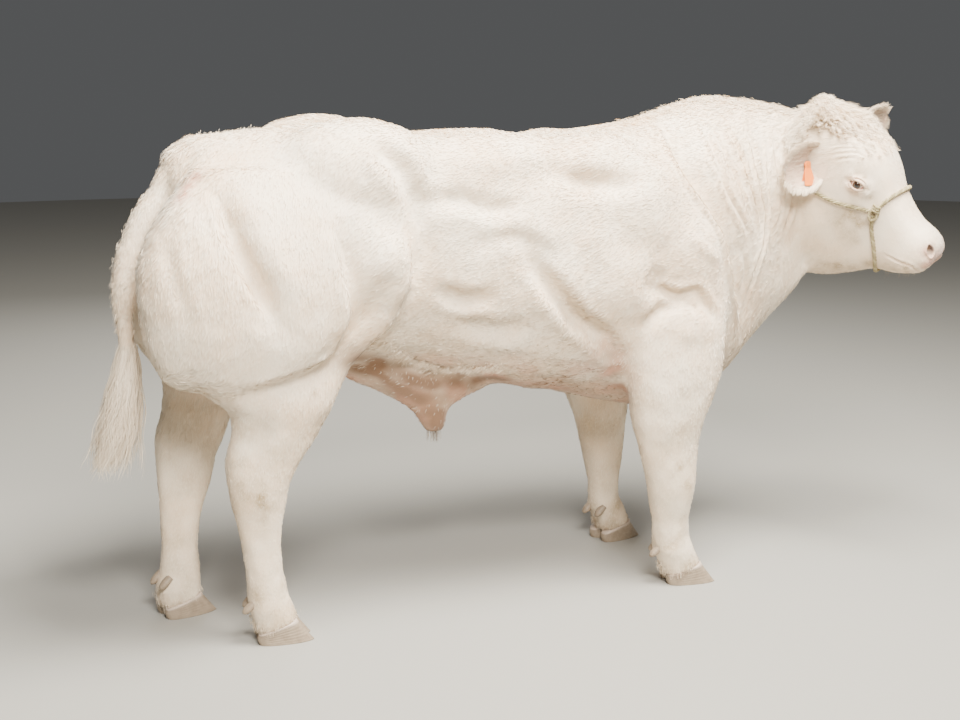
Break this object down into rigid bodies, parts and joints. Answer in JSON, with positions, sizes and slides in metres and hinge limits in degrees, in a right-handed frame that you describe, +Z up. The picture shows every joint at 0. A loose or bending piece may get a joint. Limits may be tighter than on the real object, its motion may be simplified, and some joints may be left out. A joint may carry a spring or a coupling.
{
  "type": "belgian blue bull, life-size still model",
  "caption": "Life-size still model of a white, polled, double-muscled bull standing on four legs, head turned, in a rope head collar with an ear tag.",
  "frame": {"origin": "middle of the model's box, on the floor between the four hooves", "axes": "+X the way the bull faces, +Y its left side, +Z up"},
  "size_m": [2.6214, 0.8171, 1.4695],
  "materials": {
    "hide": "short cream-white hair over pink skin",
    "switch_hair": "long wavy white hair",
    "bare_skin": "thinly haired pink-brown skin",
    "horn": "brown hoof horn, growth rings",
    "eye": "wet dark eye",
    "rope": "twisted olive jute rope",
    "tag": "bare orange tag"
  },
  "bodies": {
    "root": {"torso": "hide", "head": "hide", "neck": "hide", "hindquarters": "hide", "tail_upper": "hide", "tail_lower": "hide", "fore_right_leg_upper": "hide", "fore_right_leg_lower": "hide", "fore_left_leg_upper": "hide", "fore_left_leg_lower": "hide", "hind_right_leg_upper": "hide", "hind_right_leg_lower": "hide", "hind_left_leg_upper": "hide", "hind_left_leg_lower": "hide", "ear_right": "hide", "ear_left": "hide", "tail_switch": "switch_hair", "sheath": "bare_skin", "scrotum": "bare_skin", "fore_right_claw_a": "horn", "fore_right_claw_b": "horn", "fore_right_dewclaw_a": "horn", "fore_right_dewclaw_b": "horn", "fore_left_claw_a": "horn", "fore_left_claw_b": "horn", "fore_left_dewclaw_a": "horn", "fore_left_dewclaw_b": "horn", "hind_right_claw_a": "horn", "hind_right_claw_b": "horn", "hind_right_dewclaw_a": "horn", "hind_right_dewclaw_b": "horn", "hind_left_claw_a": "horn", "hind_left_claw_b": "horn", "hind_left_dewclaw_a": "horn", "hind_left_dewclaw_b": "horn", "eye_right": "eye", "eye_left": "eye", "halter_crown": "rope", "halter_noseband": "rope", "halter_chin": "rope", "halter_knot_right": "rope", "halter_knot_left": "rope", "ear_tag": "tag", "ear_tag_stud": "tag"}
  },
  "joints": []
}
